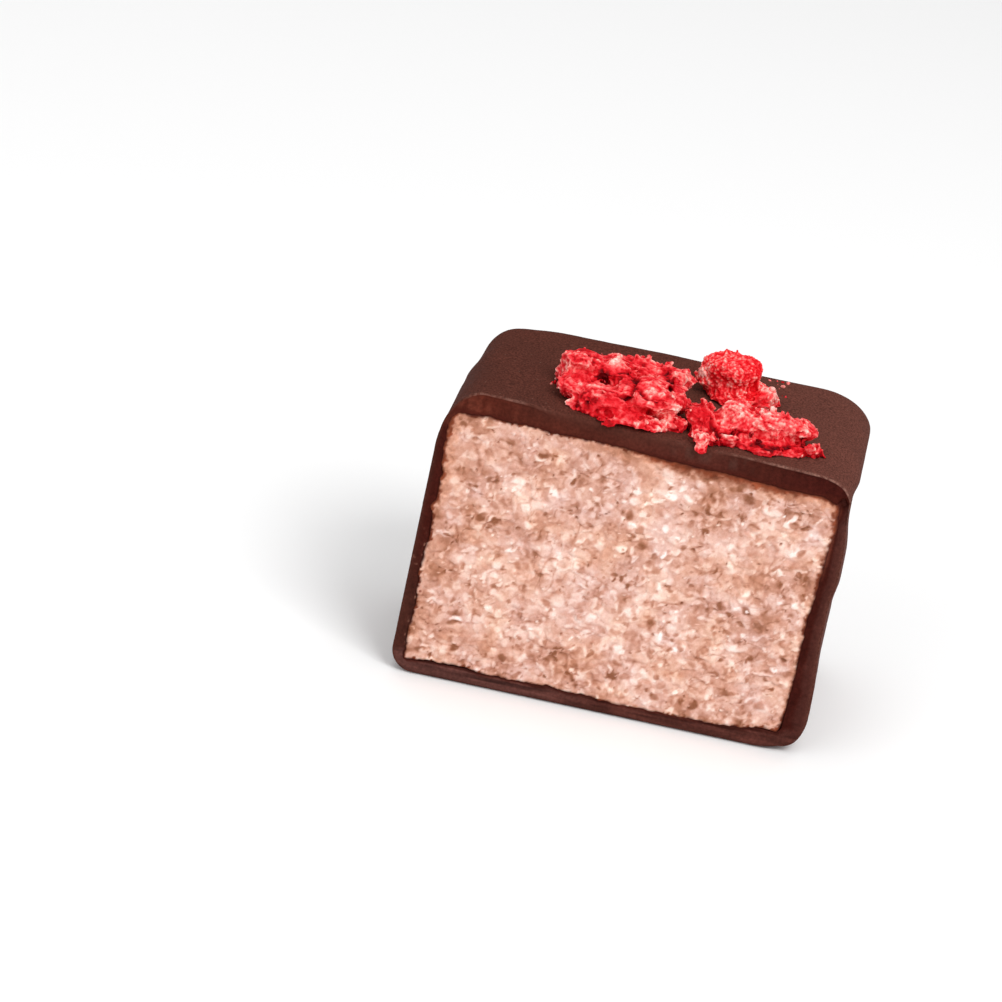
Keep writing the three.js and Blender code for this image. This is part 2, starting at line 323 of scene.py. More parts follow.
class Finish:
    """A material being made: its nodes, its Principled shader and short ways to add to them."""

    def __init__(self, name, roughness, specular):
        self.material = bpy.data.materials.new(name)
        self.material.use_nodes = True
        self.nodes = self.material.node_tree.nodes
        self.shader = self.nodes["Principled BSDF"]
        self.shader.inputs["Roughness"].default_value = roughness
        self.shader.inputs["Specular IOR Level"].default_value = specular
        self.place = self.nodes.new("ShaderNodeTexCoord").outputs["Object"]

    def link(self, value, socket):
        """Feeds a socket from another one, or sets it to a value."""
        if isinstance(value, bpy.types.NodeSocket):
            self.material.node_tree.links.new(value, socket)
        else:
            socket.default_value = value

    def add(self, kind, output, inputs, **settings):
        """One output of a new node with these inputs and settings."""
        node = self.nodes.new("ShaderNode" + kind)
        for key, value in settings.items():
            setattr(node, key, value)
        for key, value in inputs.items():
            self.link(value, node.inputs[key])
        return node.outputs[output]

    def grain(self, length, detail=2.0, roughness=0.5):
        """Noise with features of about this length in millimetres."""
        inputs = {"Scale": 1 / (length * MM), "Detail": detail, "Roughness": roughness, "Vector": self.place}
        return self.add("TexNoise", "Fac", inputs)

    def specks(self, spacing):
        """Distance to scattered points this far apart, in spacings."""
        return self.add("TexVoronoi", "Distance", {"Scale": 1 / (spacing * MM), "Vector": self.place})

    def attribute(self, name, output="Fac"):
        return self.add("Attribute", output, {}, attribute_name=name)

    def ranged(self, value, *ends):
        """A value taken from one range to another, given by the old ends and then the new ones."""
        return self.add("MapRange", "Result", dict(enumerate((value, *ends))))

    def spread(self, grain, low, high):
        """Noise taken from where most of it lies to this range."""
        return self.ranged(grain, *GRAIN_ENDS, low, high)

    def times(self, first, second):
        return self.add("Math", "Value", {0: first, 1: second}, operation="MULTIPLY")

    def blend(self, share, first, second, kind="MIX"):
        return self.add("Mix", 2, {0: share, 6: first, 7: second}, data_type="RGBA", blend_type=kind)

    def grey(self, value):
        return self.add("CombineColor", "Color", dict.fromkeys(range(3), value))

    def bump(self, height, depth, below=None):
        """A bump of this depth in millimetres, on top of the one below it."""
        inputs = {"Strength": 1.0, "Distance": depth * MM, "Height": height}
        if below is not None:
            inputs["Normal"] = below
        return self.add("Bump", "Normal", inputs)

    def finish(self, colour, normal=None, roughness=None):
        for key, value in (("Base Color", colour), ("Normal", normal), ("Roughness", roughness)):
            if value is not None:
                self.link(value, self.shader.inputs[key])
        return self.material


def chocolate_finish():
    """Dark chocolate coloured by the mesh's own tint: a speckled matt skin, smoother where it was cut."""
    made = Finish("chocolate", 0.5, 0.02)
    cut = made.attribute("cut")
    speckle = made.grain(0.18)
    cloud = made.grain(5.0)
    skin_tone = made.spread(speckle, 0.58, 1.42)
    cut_tone = made.spread(made.grain(0.30, 3.0), 0.80, 1.20)
    tone = made.ranged(cut, 0.0, 1.0, skin_tone, cut_tone)
    tone = made.times(tone, made.spread(cloud, 0.93, 1.07))
    colour = made.blend(1.0, made.attribute("tint", "Color"), made.grey(tone), "MULTIPLY")
    flecks = made.ranged(made.specks(1.3), 0.04, 0.09, 0.4, 0.0)
    flecks = made.times(flecks, made.ranged(cut, 0.0, 1.0, 1.0, 0.0))
    colour = made.blend(flecks, colour, FLECK_COLOUR)
    roughness = made.spread(cloud, 0.70, 0.82)
    normal = made.bump(speckle, 0.03)
    normal = made.bump(made.grain(0.9), 0.035, normal)
    return made.finish(colour, normal, roughness)


def tinted_finish(name, roughness, specular, grain, dark, light, depth, scatter):
    """A finish coloured by the mesh's own tint, with fine dark and light grain and some scattered light."""
    made = Finish(name, roughness, specular)
    shader = made.shader
    shader.inputs["Subsurface Weight"].default_value = scatter
    shader.inputs["Subsurface Radius"].default_value = (1.0, 0.45, 0.35)
    shader.inputs["Subsurface Scale"].default_value = 0.4 * MM
    fine = made.grain(grain, 3.0, 0.6)
    tone = made.blend(made.spread(fine, 0.0, 1.0), (*dark, 1), (*light, 1))
    colour = made.blend(1.0, made.attribute("tint", "Color"), tone, "MULTIPLY")
    return made.finish(colour, made.bump(fine, depth))


# ---------------- the chocolate coating

AROUND = 840
SHARP_LIP = 0.13  # how round the edge between the cut and the skin is at the top's two ends
SOFT_LIP = 0.70  # the same everywhere else, where the edge has slumped
NARROWEST_CUT = 0.15  # how much of the cut stays flat between the filling and the lip
RIM = 0.10  # how far the skin stands up just behind the sharp lip
RIM_PLACE = 0.30  # where that is highest, behind the cut
RIM_LENGTH = 0.45
CUT_RINGS = 18
LIP_RINGS = 6
RIM_RINGS = 4
STRAIGHT_RINGS = 28
TURN_RINGS = 18
CAP_RINGS = 20
CAVITY_STRAIGHT_RINGS = 6
CAVITY_TURN_RINGS = 5
CAVITY_CAP_RINGS = 2
CAVITY_START = 0.5  # how far behind the cut the hidden rings begin
FACING_STEPS = 8  # how much finer than the rings the filling's outline is searched
WAVES = 0.07  # how far the dipped skin waves
MOST_WANDER = 0.5
# How the cut's edge along the filling strays: its waves as [length, share], and each side's seed and size.
EDGE_WAVES = [(2.1, 0.75), (0.8, 0.55), (0.3, 0.35)]
EDGE_SIDES = {"top": (51, 0.09), "left": (54, 0.16), "right": (57, 0.11), "foot": (60, 0.14)}
NOTCH = (17.5, 25.9)  # x and z of the small hole where the top layer meets the right wall

# Each stop gives x, then red, green and blue.
# The skin's stops grow lighter towards +X: a painted sheen standing in for the soft highlight on the skin's
# right.
SKIN_AND_SHEEN_COLOURS = [
    [-20.0, 0.082, 0.0255, 0.0178],
    [-2.0, 0.086, 0.0262, 0.0182],
    [20.0, 0.122, 0.0420, 0.0310],
]
CUT_COLOURS = [
    [-20.0, 0.066, 0.0150, 0.0095],
    [-16.0, 0.088, 0.0172, 0.0100],
    [-11.0, 0.074, 0.0160, 0.0100],
    [4.0, 0.078, 0.0180, 0.0125],
    [10.0, 0.058, 0.0120, 0.0080],
    [15.0, 0.046, 0.0075, 0.0055],
    [18.0, 0.048, 0.0080, 0.0058],
]
# The cut's other sides, first beside the filling and then beside the skin; the left wall's are high and low.
LEFT_WALL = np.array([[0.048, 0.0083, 0.0056], [0.055, 0.0160, 0.0112]])
RIGHT_WALL = np.array([[0.044, 0.0076, 0.0052], [0.059, 0.0168, 0.0128]])
# The foot's first colour, beside the filling, is darker as a painted shadow of the gap under it.
FOOT = np.array([[0.050, 0.0115, 0.0082], [0.076, 0.0235, 0.0180]])
FOOT_LEFT = np.array([0.092, 0.0340, 0.0280])  # the foot's paler left end
# A painted highlight along the lip's edge, patchy and granular.
LIP_HIGHLIGHT = np.array([0.230, 0.112, 0.086])
SMEAR = np.array([0.105, 0.056, 0.044])
REDDISH = np.array([0.150, 0.038, 0.023])
RUBBED_IN = np.array([0.300, 0.130, 0.090])  # crumbs of the filling smeared over the chocolate
GAP_SHADOW = np.array([0.060, 0.0105, 0.0068])  # painted shadow in the gap where the cut chocolate meets the filling


def line_noise(along, length, seed):
    """Noise along one direction only."""
    return noise(along[..., None] * [1.0, 0, 0], length, seed)


def edge_wander(side, along):
    """How far outwards the filling's edge strays along one side of the cut, in upright millimetres."""
    seed, size = EDGE_SIDES[side]
    if side == "top":
        size = size + 0.13 * ramp(-6, -10, along)
        bulge = 0.22 * hill(along, -3.5, 3) - 0.40 * ramp(16, 17.6, along)
    elif side == "left":
        bulge = 0.33 * ramp(20.5, 22.5, along) * ramp(27, 25.5, along)
        bulge += 0.45 * hill(along, 17.2, 0.45) - 0.08
    elif side == "right":
        bulge = 0.28 * ramp(21.5, 24.5, along) - 0.20 * ramp(23.8, 25.6, along)
        bulge -= 0.22 * hill(along, 13.9, 1.8)
    else:
        bulge = 0.45 * ramp(-3, 3, along) * ramp(16.5, 13, along)
        bulge -= 0.25 * hill(along, -13.5, 3)
    waves = [share * line_noise(along, length, seed + i) for i, (length, share) in enumerate(EDGE_WAVES)]
    return np.clip(size * sum(waves) + bulge, -MOST_WANDER, MOST_WANDER)


def slumped(x, z):
    """1 where the cut's outer edge is soft, and 0 at the two ends of the top, where it is sharp."""
    middle = ramp(-12, -8, x) * ramp(8.5, 3, x)
    return np.maximum(middle, ramp(25.6, 24.6, z))


def pinched(z, behind):
    """How far inwards the right wall stands at this height, lower the further it is behind the cut."""
    height = z + 0.42 * behind
    waist = 0.36 * ramp(NOTCH[1] + 2.6, NOTCH[1] + 0.7, height) * ramp(21, 25, height)
    return waist + 0.32 * ramp(18.3, 15.5, height) * ramp(6, 11.5, height)


def outline_normals(x, z):
    """Outward normals of a closed outline."""
    along_x = np.roll(x, -1) - np.roll(x, 1)
    along_z = np.roll(z, -1) - np.roll(z, 1)
    length = np.hypot(along_x, along_z)
    return along_z / length, -along_x / length


def capped(x, z, y, count):
    """Rings that close off a ring, from its edge inwards, and the pole in its middle."""
    pole = (x.mean(), z.mean(), y)
    shares = np.linspace(1, 0, count, endpoint=False)[1:]
    return [(mixed(pole[0], x, share), mixed(pole[1], z, share), y) for share in shares], pole


def skin_rings(around, lip):
    """The outer skin from just behind the lip to the back's middle, as upright rings, and the middle."""
    longest = max(length for _, length in COATING["turns"].values())
    x, z = section(COATING, DEPTH, around)
    start, end = CUT_Y + lip, COATING["back"] - longest
    rim_end = 2 * RIM_LENGTH / (end - CUT_Y)
    rim = np.linspace(0, rim_end, RIM_RINGS, endpoint=False)
    straight = np.linspace(rim_end, 1, STRAIGHT_RINGS, endpoint=False)
    rings = [(x, z, mixed(start, end, share)) for share in (*rim, *straight)]
    for y in COATING["back"] - longest * (1 - np.sin(np.linspace(0, math.pi / 2, TURN_RINGS))):
        rings.append((*section(COATING, COATING["back"] - y, around), y))
    cap, pole = capped(*rings[-1], CAP_RINGS)
    return rings + cap, pole


def cavity_rings(around):
    """The hidden space behind the cut, from its back's middle forwards, as upright rings, and the middle."""
    longest = max(length for _, length in FILLING["turns"].values())
    turn = FILLING["back"] - longest * (1 - np.sin(np.linspace(math.pi / 2, 0, CAVITY_TURN_RINGS)))
    straight = np.linspace(turn[-1], CUT_Y + CAVITY_START, CAVITY_STRAIGHT_RINGS + 1)[1:]
    rings = [(*section(FILLING, FILLING["back"] - y, around), y) for y in (*turn, *straight)]
    cap, pole = capped(*rings[0], CAVITY_CAP_RINGS)
    return cap[::-1] + rings, pole


def wandering_edge(around):
    """The cut edge of the chocolate along the filling, upright, straying as the filling's crumbs do."""
    x, z = section(FILLING, DEPTH, around)
    normal_x, normal_z = outline_normals(x, z)
    flat = np.where(normal_z > 0, edge_wander("top", x), edge_wander("foot", x))
    steep = np.where(normal_x > 0, edge_wander("right", z), edge_wander("left", z))
    return x + normal_x * np.abs(normal_x) * steep, z + normal_z * np.abs(normal_z) * flat


def facing(around):
    """Where along the filling's outline its nearest point to each point of the coating's outline lies."""
    fine = np.arange(FACING_STEPS * AROUND) / (FACING_STEPS * AROUND)
    filling_x, filling_z = section(FILLING, DEPTH, fine)
    coating_x, coating_z = section(COATING, DEPTH, around)
    away = np.hypot(coating_x[:, None] - filling_x, coating_z[:, None] - filling_z)
    return fine[away.argmin(axis=1)]


def build_coating(material):
    around = np.arange(AROUND) / AROUND
    inner_around = facing(around)
    inner_x, inner_z = wandering_edge(inner_around)
    outer_x, outer_z = section(COATING, DEPTH, around)
    normal_x, normal_z = outline_normals(outer_x, outer_z)
    thickness = (outer_x - inner_x) * normal_x + (outer_z - inner_z) * normal_z
    lip = mixed(SHARP_LIP, SOFT_LIP, slumped(outer_x, outer_z))
    lip = np.clip(thickness - NARROWEST_CUT, SHARP_LIP, lip)
    inner = settle(FILLING, inner_x, CUT_Y, inner_z)
    outer = settle(COATING, outer_x - normal_x * lip, CUT_Y, outer_z - normal_z * lip)

    hidden, cavity_pole = cavity_rings(inner_around)
    skin, skin_pole = skin_rings(around, lip)
    rings = [settle(FILLING, x, y, z) for x, z, y in hidden]
    cut, across = [1.0] * len(rings), [0.0] * len(rings)
    for share in np.linspace(0, 1, CUT_RINGS):
        rings.append(mixed(inner, outer, share))
        cut.append(1)
        across.append(share)
    for angle in np.linspace(0, math.pi / 2, LIP_RINGS + 1)[1:-1]:
        inset = lip * (1 - math.sin(angle))
        y = CUT_Y + lip * (1 - math.cos(angle))
        rings.append(settle(COATING, outer_x - normal_x * inset, y, outer_z - normal_z * inset))
        cut.append(math.cos(angle) ** 2)
    rings += [settle(COATING, x, y, z) for x, z, y in skin]
    cut += [0.0] * len(skin)
    across += [1.0] * (len(rings) - len(across))
    faces = ring_faces(len(rings), AROUND)
    for block, (x, z, y) in ((FILLING, cavity_pole), (COATING, skin_pole)):
        rings.append(settle(block, x, y, z)[None])
    points = np.concatenate(rings)
    cut = np.append(np.repeat(cut, AROUND), [1, 0])
    across = np.append(np.repeat(across, AROUND), [1, 1])

    tint = chocolate_colours(points, cut, across)
    piece = mesh_object("chocolate_shell", points, faces, material, tint, cut=cut)
    sculpt_coating(piece.data, cut)
    return piece


def chocolate_colours(points, cut, across):
    """The skin's and the cut's colours, with a painted highlight along the lip, drag marks and crumbs of the
    filling rubbed in.
    `across` runs over the cut from 0 beside the filling to 1 beside the skin."""
    x, y, z = points.T
    # The skin's colour, with its painted sheen growing towards +X.
    skin = blended(SKIN_AND_SHEEN_COLOURS, x)
    face = blended(CUT_COLOURS, x + noise(points, 3, 8))
    streak = noise(points * [1, 1, 0.15], 0.42, 9)
    blotch = fractal(points, 1.6, 3, 15)
    face = face * (1 + 0.16 * streak + 0.20 * blotch)[:, None]
    over = z - top_of(FILLING, x)
    middle = ramp(-14, -8, x) * ramp(9, 4, x)
    face = painted(face, skin * 0.82, 0.75 * middle * ramp(0.5, 1.9, over + 0.3 * blotch))
    smear = ramp(0.2, 1, over) * ramp(0, 3, x) * ramp(10, 7, x)
    smear *= ramp(-0.1, 0.5, noise(points * [1, 1, 0.15], 0.4, 16))
    face = painted(face, SMEAR, 0.25 * smear)
    fuzz = ramp(-12, -14, x) * ramp(2.2, 1.2, over) * ramp(0, 0.4, over)
    fuzz *= ramp(-0.2, 0.5, streak + 0.7 * blotch)
    face = painted(face, REDDISH, 0.3 * fuzz)
    # Painted shadow along the gap just above the filling's top edge.
    face = painted(face, GAP_SHADOW, 0.8 * ramp(0.45, 0.1, np.abs(over) + 0.15 * streak))
    colours = painted(skin, side_colours(face, points, across), cut)
    # The lip's painted highlight, at the two ends of the top.
    near_lip = ramp(0.50, 0.10, y - CUT_Y) * (1 - ramp(0.5, 1, cut))
    left_end = 0.6 * ramp(27, 28, z) * ramp(-18, -17, x)
    ends = np.maximum(ramp(6, 12, x) * ramp(24.5, 26, z), left_end)
    patchy = 0.20 + 0.80 * ramp(-0.4, 0.5, noise(points, 0.22, 13) + 0.5 * noise(points, 0.9, 28))
    return painted(colours, LIP_HIGHLIGHT, 0.85 * near_lip * ends * patchy * (1 - middle))


def side_colours(face, points, across):
    """Paints the cut's two walls and its foot, which is streaked along and darkest under the filling, where a
    painted shadow marks the gap.
    """
    x, _, z = points.T
    blotch = noise(points, 0.9, 17)
    grain = (1 + 0.14 * blotch + 0.14 * noise(points, 0.35, 18))[:, None]
    below_top = ramp(NOTCH[1], NOTCH[1] - 0.8, z)

    left = ramp(-17.2, -17.8, x) * below_top
    face = painted(face, painted(*LEFT_WALL, ramp(16, 6, z)) * grain, left)
    smears = ramp(0.34, 0.20, cells(points * [1, 1, 0.7], 0.42, 24)) * ramp(-0.3, 0.4, blotch)
    smears *= ramp(17, 15, z) * ramp(0.9, 0.2, across)
    specks = ramp(0.26, 0.12, cells(points, 0.7, 25)) * ramp(0.3, 0.6, across)
    specks *= ramp(16, 13, z) * ramp(-0.2, 0.5, noise(points, 1.6, 27))
    face = painted(face, RUBBED_IN, 0.6 * np.maximum(smears, specks) * left)

    right = ramp(16, 16.8, x) * below_top
    wall = painted(*RIGHT_WALL, ramp(0.40, 1.05, across + 0.25 * blotch))
    face = painted(face, wall * grain, right)
    high = ramp(16.5, 21, z)
    rim = ramp(0.20 + 0.40 * high, 0, across + 0.1 * blotch)
    face = painted(face, REDDISH, 0.75 * rim * high * right)

    streak = noise(points * [0.10, 1, 1], 0.20, 19) + 0.6 * noise(points * [0.2, 1, 1], 0.5, 20)
    pale = painted(FOOT[1], FOOT_LEFT, ramp(1, -9, x))
    # The foot darkens beside the filling: a painted shadow of the gap.
    base = painted(FOOT[0], pale, ramp(0.08, 0.36, across + 0.08 * streak))
    base = base * (1 + 0.48 * streak)[:, None]
    return painted(face, base, ramp(2.8, 1.9, z + 0.2 * blotch))


def sculpt_coating(mesh, cut):
    """Raises the rim behind the lip, waves the dipped skin and presses the knife's marks into the cut."""
    points = points_of(mesh) / MM
    normals = normals_of(mesh)
    x, y, z = points.T  # views, so that moving any of the three moves the points
    behind = y - CUT_Y
    skin = 1 - cut
    free = ramp(0.5, 4, behind) * ramp(0, 2, z)
    waves = WAVES * fractal(points, 7, 2, 11) * free
    small = 0.012 * noise(points, 1.2, 12) * ramp(0, 2, z)
    uneven = 0.65 + 0.35 * line_noise(x, 2.5, 14)
    rim = RIM * uneven * hill(behind, RIM_PLACE, RIM_LENGTH) * ramp(18, 26, z)
    rim *= 1 - slumped(x, z)
    points += normals * ((waves + small + rim) * skin)[:, None]

    on_face = (cut > 0.99) & (behind < 0.01)
    drag = 0.03 * noise(points * [1, 1, 0.12], 0.8, 5) + 0.03 * noise(points, 1.6, 6)
    lumps = 0.05 * ramp(0.1, 0.7, noise(points, 0.9, 7)) * ramp(27, 25, z)
    y += np.where(on_face, 0.05 + drag - lumps, 0)
    x -= pinched(z, behind) * ramp(16.6, 18.6, x)
    # The left end of the top falls away towards the back, and the foot swells at the right of the cut.
    shoulder = hill(z, 26.2, 1.7) * ramp(-15, -17, x) * ramp(9, 15, behind)
    crown = hill(x, -14.6, 2.2) * ramp(27, 28.2, z) * ramp(12, 17, behind)
    x += 0.42 * shoulder
    z -= 0.40 * shoulder + 0.26 * crown
    corner = hill(np.hypot(x - 17.6, z - 1.5), 0, 1.8) * ramp(9, 2, behind)
    x += 0.22 * corner
    z -= 0.15 * corner
    wall = ramp(NOTCH[1] + 0.3, NOTCH[1] - 0.3, z) * ramp(NOTCH[0] - 1, NOTCH[0], x)
    notch = hill(np.hypot(x - NOTCH[0], (z - NOTCH[1]) * 0.8), 0, 0.42)
    y += np.where(cut > 0.2, 0.25 * wall + 0.8 * notch, 0)
    points -= np.maximum(points - COATING_HIGH, 0) + np.minimum(points - COATING_LOW, 0)
    set_points(mesh, points * MM)


# ---------------- the cheesecake filling

GRID = 0.112
BEDDING = 0.65  # how far the filling runs in behind the chocolate's edge
THIN = 0.93  # how far out it may come under the top left corner, as a share of the way to the skin
BACK_GAP = 0.3  # between its hidden back and the chocolate
MOST_PROUD = 0.35  # how far any of it may stand out of the cut
SUNK = 0.12  # how far the cut's middle depth lies behind the chocolate's
STRAIGHT_FROM = (2.0, 8.0)  # how far behind the cut the first hidden rings lie
TURN_FROM = 0.3  # the angle at which the rings round its back start, and how many there are
TURN_STEPS = 3
FLECKS = 6800
SHREDS = 110
PINPRICKS = 36
MIDDLE_TONE = 0.42
# Each stop gives the crumb's paleness, then red, green and blue.
CRUMB_STOPS = [
    [0.0, 0.27, 0.100, 0.052],
    [0.2, 0.49, 0.225, 0.150],
    [0.4, 0.67, 0.372, 0.288],
    [0.6, 0.80, 0.530, 0.440],
    [0.8, 0.90, 0.700, 0.610],
    [1.0, 0.96, 0.840, 0.765],
]
STAIN = np.array([0.235, 0.056, 0.024])  # the brown right beside the chocolate
TAN = np.array([0.57, 0.245, 0.145])  # where it has faded


def rounded_grid():
    """An upright grid over the filling's face whose corners follow the rounded outline."""
    left, right = FILLING["left"][1] - BEDDING, FILLING["right"][1] + BEDDING
    foot, top = FILLING["foot"][0] - BEDDING, FILLING["top"][0] + BEDDING
    columns = round((right - left) / GRID) + 1
    rows = round((top - foot) / GRID) + 1
    x, z = np.meshgrid(np.linspace(left, right, columns), np.linspace(foot, top, rows))
    corners = [(right, top, -1, -1), (left, top, 1, -1), (left, foot, 1, 1), (right, foot, -1, 1)]
    for (corner_x, corner_z, to_x, to_z), radii in zip(corners, FILLING["corners"]):
        reach_x, reach_z = radii[0] + BEDDING, radii[1] + BEDDING
        centre_x, centre_z = corner_x + to_x * reach_x, corner_z + to_z * reach_z
        p = (centre_x - x) * to_x / reach_x
        q = (centre_z - z) * to_z / reach_z
        inside = (p > 0) & (q > 0)
        x = np.where(inside, centre_x - to_x * reach_x * p * np.sqrt(np.maximum(1 - q * q / 2, 0)), x)
        z = np.where(inside, centre_z - to_z * reach_z * q * np.sqrt(np.maximum(1 - p * p / 2, 0)), z)
    return x, z


def kept_under(x, z):
    """The upright grid, drawn in where its hidden rim would come through the chocolate's top left corner."""
    half_width, half_height = COATING["corners"][1]
    centre_x = COATING["left"][1] + half_width
    centre_z = COATING["top"][0] - half_height
    p, q = (centre_x - x) / half_width, (z - centre_z) / half_height
    out = np.hypot(np.maximum(p, 0), q)
    drawn = np.where((p > 0) & (q > 0) & (out > THIN), THIN / np.maximum(out, THIN), 1)
    return centre_x - p * half_width * drawn, centre_z + q * half_height * drawn


def brush(x, z, centre, half, thick, turn, bend):
    """The part of the grid round a bent oval, and how far inside it each point there lies, from 0 to 1."""
    rows, columns = x.shape
    low = np.array([x.min(), z.min()])
    step = np.array([x.max() - low[0], z.max() - low[1]]) / [columns - 1, rows - 1]
    reach = half * (1 + 0.6 * abs(bend)) + 0.5
    first = np.maximum((np.array(centre) - reach - low) // step, 0).astype(int)
    last = ((np.array(centre) + reach - low) // step).astype(int) + 2
    window = (slice(first[1], last[1]), slice(first[0], last[0]))
    away_x, away_z = x[window] - centre[0], z[window] - centre[1]
    p = (away_x * math.cos(turn) + away_z * math.sin(turn)) / half
    q = (away_z * math.cos(turn) - away_x * math.sin(turn)) / thick - bend * (p * p - 0.3)
    return window, np.maximum(1 - p * p - q * q, 0)


def fleck(random):
    """A roundish scrap of the mash: its half length and thickness, bend, turn, rise and tone."""
    half = 0.16 + 0.6 * random.random() ** 1.8
    thick = half * random.uniform(0.4, 0.95)
    bend = random.normal(0, 0.35)
    turn = random.uniform(0, math.pi)
    rise = random.uniform(-0.12, 0.15)
    # A fleck's tone rises with its rise, so raised flecks are paler: partly painted light and shade.
    return half, thick, bend, turn, rise, random.normal(MIDDLE_TONE, 0.30) + 0.5 * rise


def shred(random):
    """A long thin scrap, given in the same way."""
    half = random.uniform(0.4, 1)
    thick = random.uniform(0.14, 0.24)
    bend = random.normal(0, 0.6)
    turn = random.uniform(0, math.pi)
    return half, thick, bend, turn, random.uniform(0.02, 0.16), random.uniform(0.45, 0.72)


def scatter_flecks(x, z):
    """Height and paleness of a soft mash of flecks and shreds, each laid over those before it."""
    random = np.random.default_rng(SEED)
    flat = np.stack([x, z, np.zeros(x.shape)], axis=-1)
    x, z = np.moveaxis(drifted(flat, (0.20, 1.3, 71), (0.08, 0.45, 74)), -1, 0)[:2]
    low = np.array([x.min(), z.min()])
    span = np.array([x.max(), z.max()]) - low
    height = np.zeros(x.shape)
    pale = np.full(x.shape, MIDDLE_TONE)
    for i in range(FLECKS + SHREDS):
        centre = low + span * random.random(2)
        half, thick, bend, turn, rise, tone = fleck(random) if i < FLECKS else shred(random)
        window, inside = brush(x, z, centre, half, thick, turn, bend)
        over = 0.75 * ramp(0, 0.8, inside)
        height[window] += (rise + 0.06 * inside - height[window]) * over
        pale[window] += (tone - pale[window]) * over
    # Small pits, darkened by painted shade.
    for _ in range(PINPRICKS):
        centre = low + span * random.random(2)
        half = random.uniform(0.10, 0.24)
        window, inside = brush(x, z, centre, half, half * random.uniform(0.5, 1), random.uniform(0, 3), 0)
        height[window] -= 0.16 * inside
        pale[window] -= random.uniform(0.3, 0.8) * inside
    return height, pale


def stained(points, inside):
    """How strongly the chocolate has stained the filling brown beside its sides, and tan further in."""
    x, _, z = points.T
    wander = 0.26 * noise(points, 1.3, 35) + 0.22 * noise(points, 0.45, 36) + 0.16 * noise(points, 0.22, 40)
    top = 0.20 + 0.80 * ramp(-3.5, 3, x) - 0.55 * ramp(9, 14, x)
    high = ramp(16, 19, z)
    # For each side, how far in the brown and the tan reach, and how strong the tan is.
    sides = {
        "top": (top, 1.55, 0.35 + 0.50 * ramp(-11, -2, x)),
        "left": (0.12 + 0.22 * high, 1.50, 0.35 + 0.35 * high),
        "right": (0.22 + 0.20 * ramp(16, 21, z), 0.90, 0.45),
        "foot": (0.12, 0.70, 0.30),
    }
    brown, tan = np.zeros(len(points)), np.zeros(len(points))
    for side, (reach, fade, strength) in sides.items():
        away = inside[side] + wander
        brown = np.maximum(brown, ramp(1.4 * reach, 0.4 * reach, away))
        faded = ramp(fade, 0.45 * fade, away + 0.2 * wander)
        tan = np.maximum(tan, strength * faded)
    return brown, tan


def filling_colours(points, height, pale, inside):
    """Cream and pink flecks with painted shade in the pits and low places, stained brown near the chocolate
    and in a few patches, and a painted shadow in the gap at its edge.
    `inside` gives the distance in from the chocolate's edge at each side of the cut."""
    warped = drifted(points, (1, 2.5, 43))
    cloud = fractal(warped, 2.4, 4, 31)
    vein = ramp(0.82, 1, folds(warped, 1.5, 34)) * ramp(-0.2, 0.5, noise(points, 2, 37))
    nearest = np.minimum.reduce(list(inside.values()))
    # Paleness rises with height, so low places are darker: painted shade.
    value = 0.50 + 0.80 * (pale - MIDDLE_TONE) + 0.52 * height + 0.34 * cloud - 0.24 * vein
    value += 0.10 * noise(points, 0.3, 33) - 0.11 * ramp(8, 2, nearest)
    colours = blended(CRUMB_STOPS, value)
    warm = fractal(drifted(points, (0.6, 1.5, 81)), 2.2, 3, 39)[:, None]
    colours = colours * (1 + 0.14 * warm * np.array([0.15, -0.25, -1]))
    brown, tan = stained(points, inside)
    patches = ramp(0.12, 0.62, fractal(warped, 3, 3, 41))
    corner = np.exp(-np.hypot(points[:, 0] + 14.5, points[:, 2] - 23) / 1.6)
    tan = np.clip(np.maximum(tan, 0.55 * patches) + 0.5 * corner, 0, 1)
    tone = 0.60 + 0.80 * value[:, None]
    colours = painted(colours, TAN * tone, tan)
    colours = painted(colours, STAIN * tone, brown)
    # Painted shadow at the filling's edge, in the gap beside the chocolate.
    return painted(colours, GAP_SHADOW, ramp(0.36, -0.06, nearest + 0.16 * noise(points, 0.4, 38)))


def filling_face():
    """The filling's points at the cut, as a grid, their colours and its upright outline."""
    x, z = rounded_grid()
    height, pale = scatter_flecks(x, z)
    inside = {
        "top": z[-1:] - BEDDING + edge_wander("top", x) - z,
        "left": x - x[:, :1] - BEDDING + edge_wander("left", z),
        "right": x[:, -1:] - x - BEDDING + edge_wander("right", z),
        "foot": z - z[:1] - BEDDING + edge_wander("foot", x),
    }
    x, z = kept_under(x, z)
    face = settle(FILLING, x, CUT_Y, z)
    low = 0.10 * fractal(face, 5, 2, 21)
    edge = np.minimum.reduce(list(inside.values()))
    creased = -0.12 * ramp(0.55, 1, folds(drifted(face, (0.5, 1.6, 23)), 1.2, 26))
    height = height + creased + 0.02 * noise(face, 0.26, 22)
    outward = mixed(height + low, 0.03, ramp(0.5, 0.1, edge)) - 0.6 * ramp(0.10, -0.25, edge)
    face[..., 1] = CUT_Y + SUNK - np.minimum(outward, MOST_PROUD)
    inside = {side: away.ravel() for side, away in inside.items()}
    return face, filling_colours(face.reshape(-1, 3), height.ravel(), pale.ravel(), inside), x, z


def hidden_rings(rim_x, rim_z):
    """Rings that carry the face's outline back into the bite, clear of the chocolate."""
    middle_x, middle_z = rim_x.mean(), rim_z.mean()
    turn = FILLING["turns"]["left"]
    back = DEPTH - BACK_WALL - BACK_GAP - turn[1]
    turning = back + turn[1] * np.sin(np.linspace(TURN_FROM, math.pi / 2, TURN_STEPS))
    for behind in (*STRAIGHT_FROM, back, *turning):
        inset = BEDDING + turned_in(turn, DEPTH - BACK_WALL - behind)
        narrow = 1 - inset / (rim_x.max() - middle_x)
        x, z = mixed(middle_x, rim_x, narrow), mixed(middle_z, rim_z, narrow)
        yield settle(FILLING, x, CUT_Y + behind, z)


